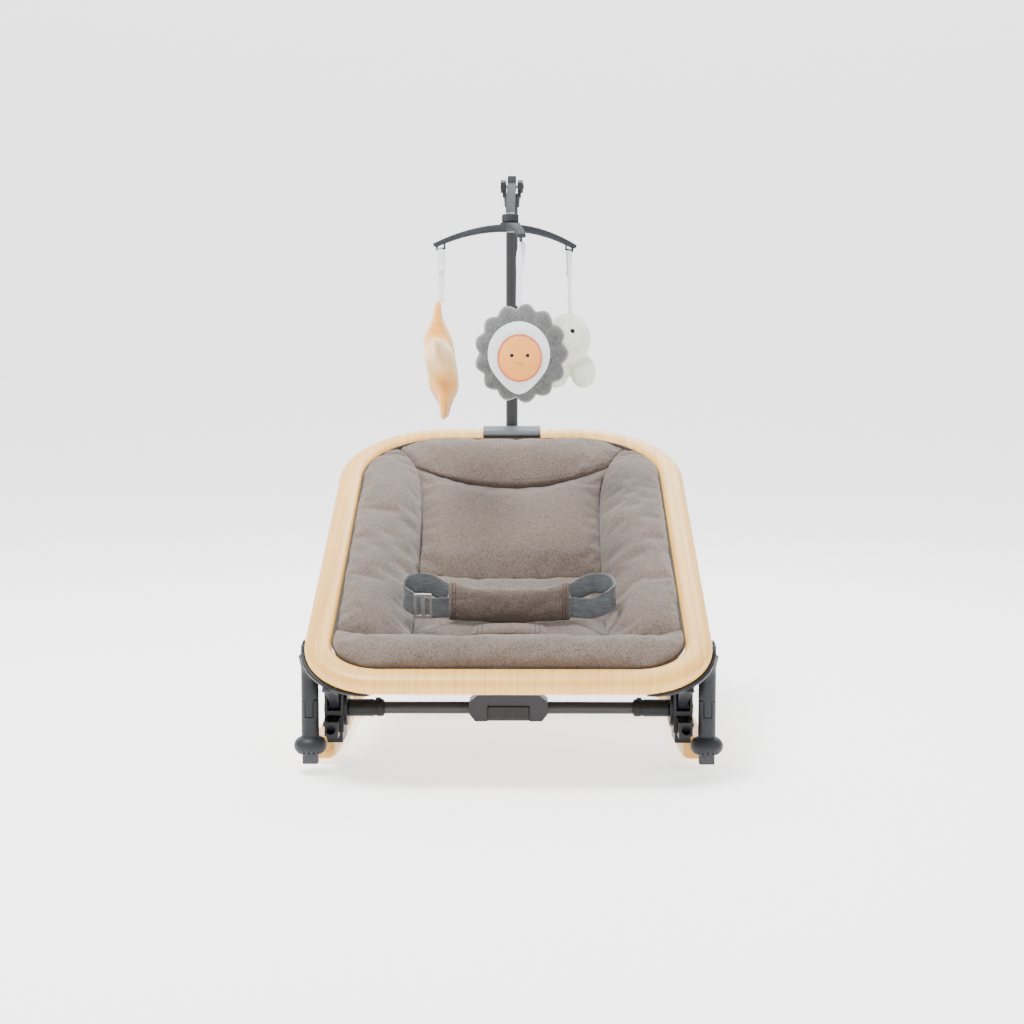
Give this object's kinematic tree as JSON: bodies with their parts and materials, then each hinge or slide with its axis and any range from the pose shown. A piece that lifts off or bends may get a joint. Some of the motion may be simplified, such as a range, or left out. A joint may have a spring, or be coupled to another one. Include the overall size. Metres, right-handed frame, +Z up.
{
  "type": "baby bouncer seat",
  "caption": "Reclining infant bouncer: a padded oval seat ring with a harness on a wooden rocker base, under a swivelling toy bar with hanging plush toys.",
  "frame": {"origin": "on the floor under the middle of the footprint", "axes": "+Z up, +Y towards the head end of the seat, +X towards the left hand of the child in the seat"},
  "size_m": [0.5038, 0.6395, 0.7575],
  "materials": {
    "wood": "light beech with a fine straight grain, satin",
    "slate_plastic": "fine satin",
    "charcoal_plastic": "fine satin",
    "charcoal_tube": "satin powder coat",
    "black_plastic": "fine satin",
    "steel": "plain zinc",
    "foot_rubber": "matt",
    "seat_fabric": "taupe heather, quilted",
    "shell_fabric": "taupe backing",
    "webbing": "satin webbing",
    "slider_metal": "satin",
    "ribbon_fabric": "satin ribbon",
    "flower_plush": "soft plush",
    "cream_plush": "soft plush",
    "orange_plush": "soft plush"
  },
  "bodies": {
    "base": {"rocker_runner_left": "wood", "rocker_runner_right": "wood", "rear_crossbar": "wood", "hub_housing_left": "charcoal_plastic", "hub_housing_right": "charcoal_plastic", "hub_cover_left": "black_plastic", "hub_cover_right": "black_plastic", "pivot_bolt_left": "steel", "pivot_bolt_right": "steel", "hub_screw_left": "steel", "hub_screw_right": "steel", "cross_tube": "charcoal_tube", "tube_sleeve_left": "black_plastic", "tube_sleeve_right": "black_plastic", "release_housing_front": "charcoal_plastic", "release_housing_rear": "charcoal_plastic", "button_spring": "steel"},
    "button": {"release_button": "slate_plastic"},
    "lock_left": {"lock_rod_left": "steel"},
    "lock_right": {"lock_rod_right": "steel"},
    "seat": {"seat_ring": "wood", "corner_bracket_left": "slate_plastic", "corner_bracket_right": "slate_plastic", "lower_leg_left": "slate_plastic", "lower_leg_right": "slate_plastic", "seat_sling": "shell_fabric", "back_cushion": "seat_fabric", "seat_cushion": "seat_fabric", "head_cushion": "seat_fabric", "side_bolster_left": "seat_fabric", "side_bolster_right": "seat_fabric", "front_bolster": "seat_fabric", "waist_pad": "seat_fabric", "crotch_pad": "seat_fabric", "harness_strap_left": "webbing", "harness_strap_right": "webbing", "strap_slider": "slider_metal", "toy_bar_clamp": "slate_plastic"},
    "foot_left": {"foot_knob_left": "slate_plastic"},
    "foot_right": {"foot_knob_right": "slate_plastic"},
    "pad_left": {"foot_pad_left": "foot_rubber"},
    "pad_right": {"foot_pad_right": "foot_rubber"},
    "mast": {"toy_mast": "charcoal_tube", "mast_fork": "slate_plastic", "arm_pin": "steel"},
    "arm": {"toy_arm": "slate_plastic", "spider_pin": "steel"},
    "spider": {"toy_spider": "slate_plastic"},
    "front_toy": {"ribbon_front": "ribbon_fabric", "flower_toy": "flower_plush"},
    "right_toy": {"ribbon_right": "ribbon_fabric", "round_toy": "cream_plush"},
    "left_toy": {"ribbon_left": "ribbon_fabric", "star_toy": "orange_plush"}
  },
  "joints": [
    {"name": "seat_recline", "type": "hinge", "parent": "base", "child": "seat", "pos_m": [0, -0.205, 0.072], "axis": [1, 0, 0], "range_deg": [-23.67, 0]},
    {"name": "release_press", "type": "slide", "parent": "base", "child": "button", "axis": [0, 1, 0], "range_m": [0, 0.003], "stiffness_N_per_m": 400, "springref_m": -0.003, "deforming": ["button_spring"]},
    {"name": "lock_left_slide", "type": "slide", "parent": "base", "child": "lock_left", "axis": [1, 0, 0], "range_m": [0, 0.006]},
    {"name": "lock_right_slide", "type": "slide", "parent": "base", "child": "lock_right", "axis": [-1, 0, 0], "range_m": [0, 0.006]},
    {"name": "foot_turn_left", "type": "hinge", "parent": "seat", "child": "foot_left", "pos_m": [-0.2325, -0.235, 0.033], "axis": [0, 0, -1], "range_deg": [0, 180]},
    {"name": "foot_pad_slide_left", "type": "slide", "parent": "foot_left", "child": "pad_left", "axis": [0, 0, -1], "range_m": [0, 0.012]},
    {"name": "foot_turn_right", "type": "hinge", "parent": "seat", "child": "foot_right", "pos_m": [0.2325, -0.235, 0.033], "axis": [0, 0, -1], "range_deg": [0, 180]},
    {"name": "foot_pad_slide_right", "type": "slide", "parent": "foot_right", "child": "pad_right", "axis": [0, 0, -1], "range_m": [0, 0.012]},
    {"name": "mast_lift", "type": "slide", "parent": "seat", "child": "mast", "axis": [0, 0, 1], "range_m": [0, 0.045]},
    {"name": "arm_tilt", "type": "hinge", "parent": "mast", "child": "arm", "pos_m": [0, 0.308, 0.742], "axis": [1, 0, 0], "range_deg": [-75, 10]},
    {"name": "spider_turn", "type": "hinge", "parent": "arm", "child": "spider", "pos_m": [0, 0.02, 0.661], "axis": [0, 0, 1], "continuous": true},
    {"name": "front_toy_swing", "type": "hinge", "parent": "spider", "child": "front_toy", "pos_m": [0.01378, -0.07804, 0.63285], "axis": [0.1392, -0.9903, 0], "range_deg": [-30, 30]},
    {"name": "right_toy_swing", "type": "hinge", "parent": "spider", "child": "right_toy", "pos_m": [0.07801, 0.08095, 0.63285], "axis": [0.788, 0.6157, 0], "range_deg": [-30, 30]},
    {"name": "left_toy_swing", "type": "hinge", "parent": "spider", "child": "left_toy", "pos_m": [-0.09179, 0.05709, 0.63285], "axis": [-0.9272, 0.3746, 0], "range_deg": [-30, 30]}
  ],
  "couplings": [
    {"joint": "lock_left_slide", "follows": "release_press", "ratio": 2},
    {"joint": "lock_right_slide", "follows": "release_press", "ratio": 2},
    {"joint": "foot_pad_slide_left", "follows": "foot_turn_left", "m_per_rad": 0.0038197},
    {"joint": "foot_pad_slide_right", "follows": "foot_turn_right", "m_per_rad": 0.0038197}
  ]
}
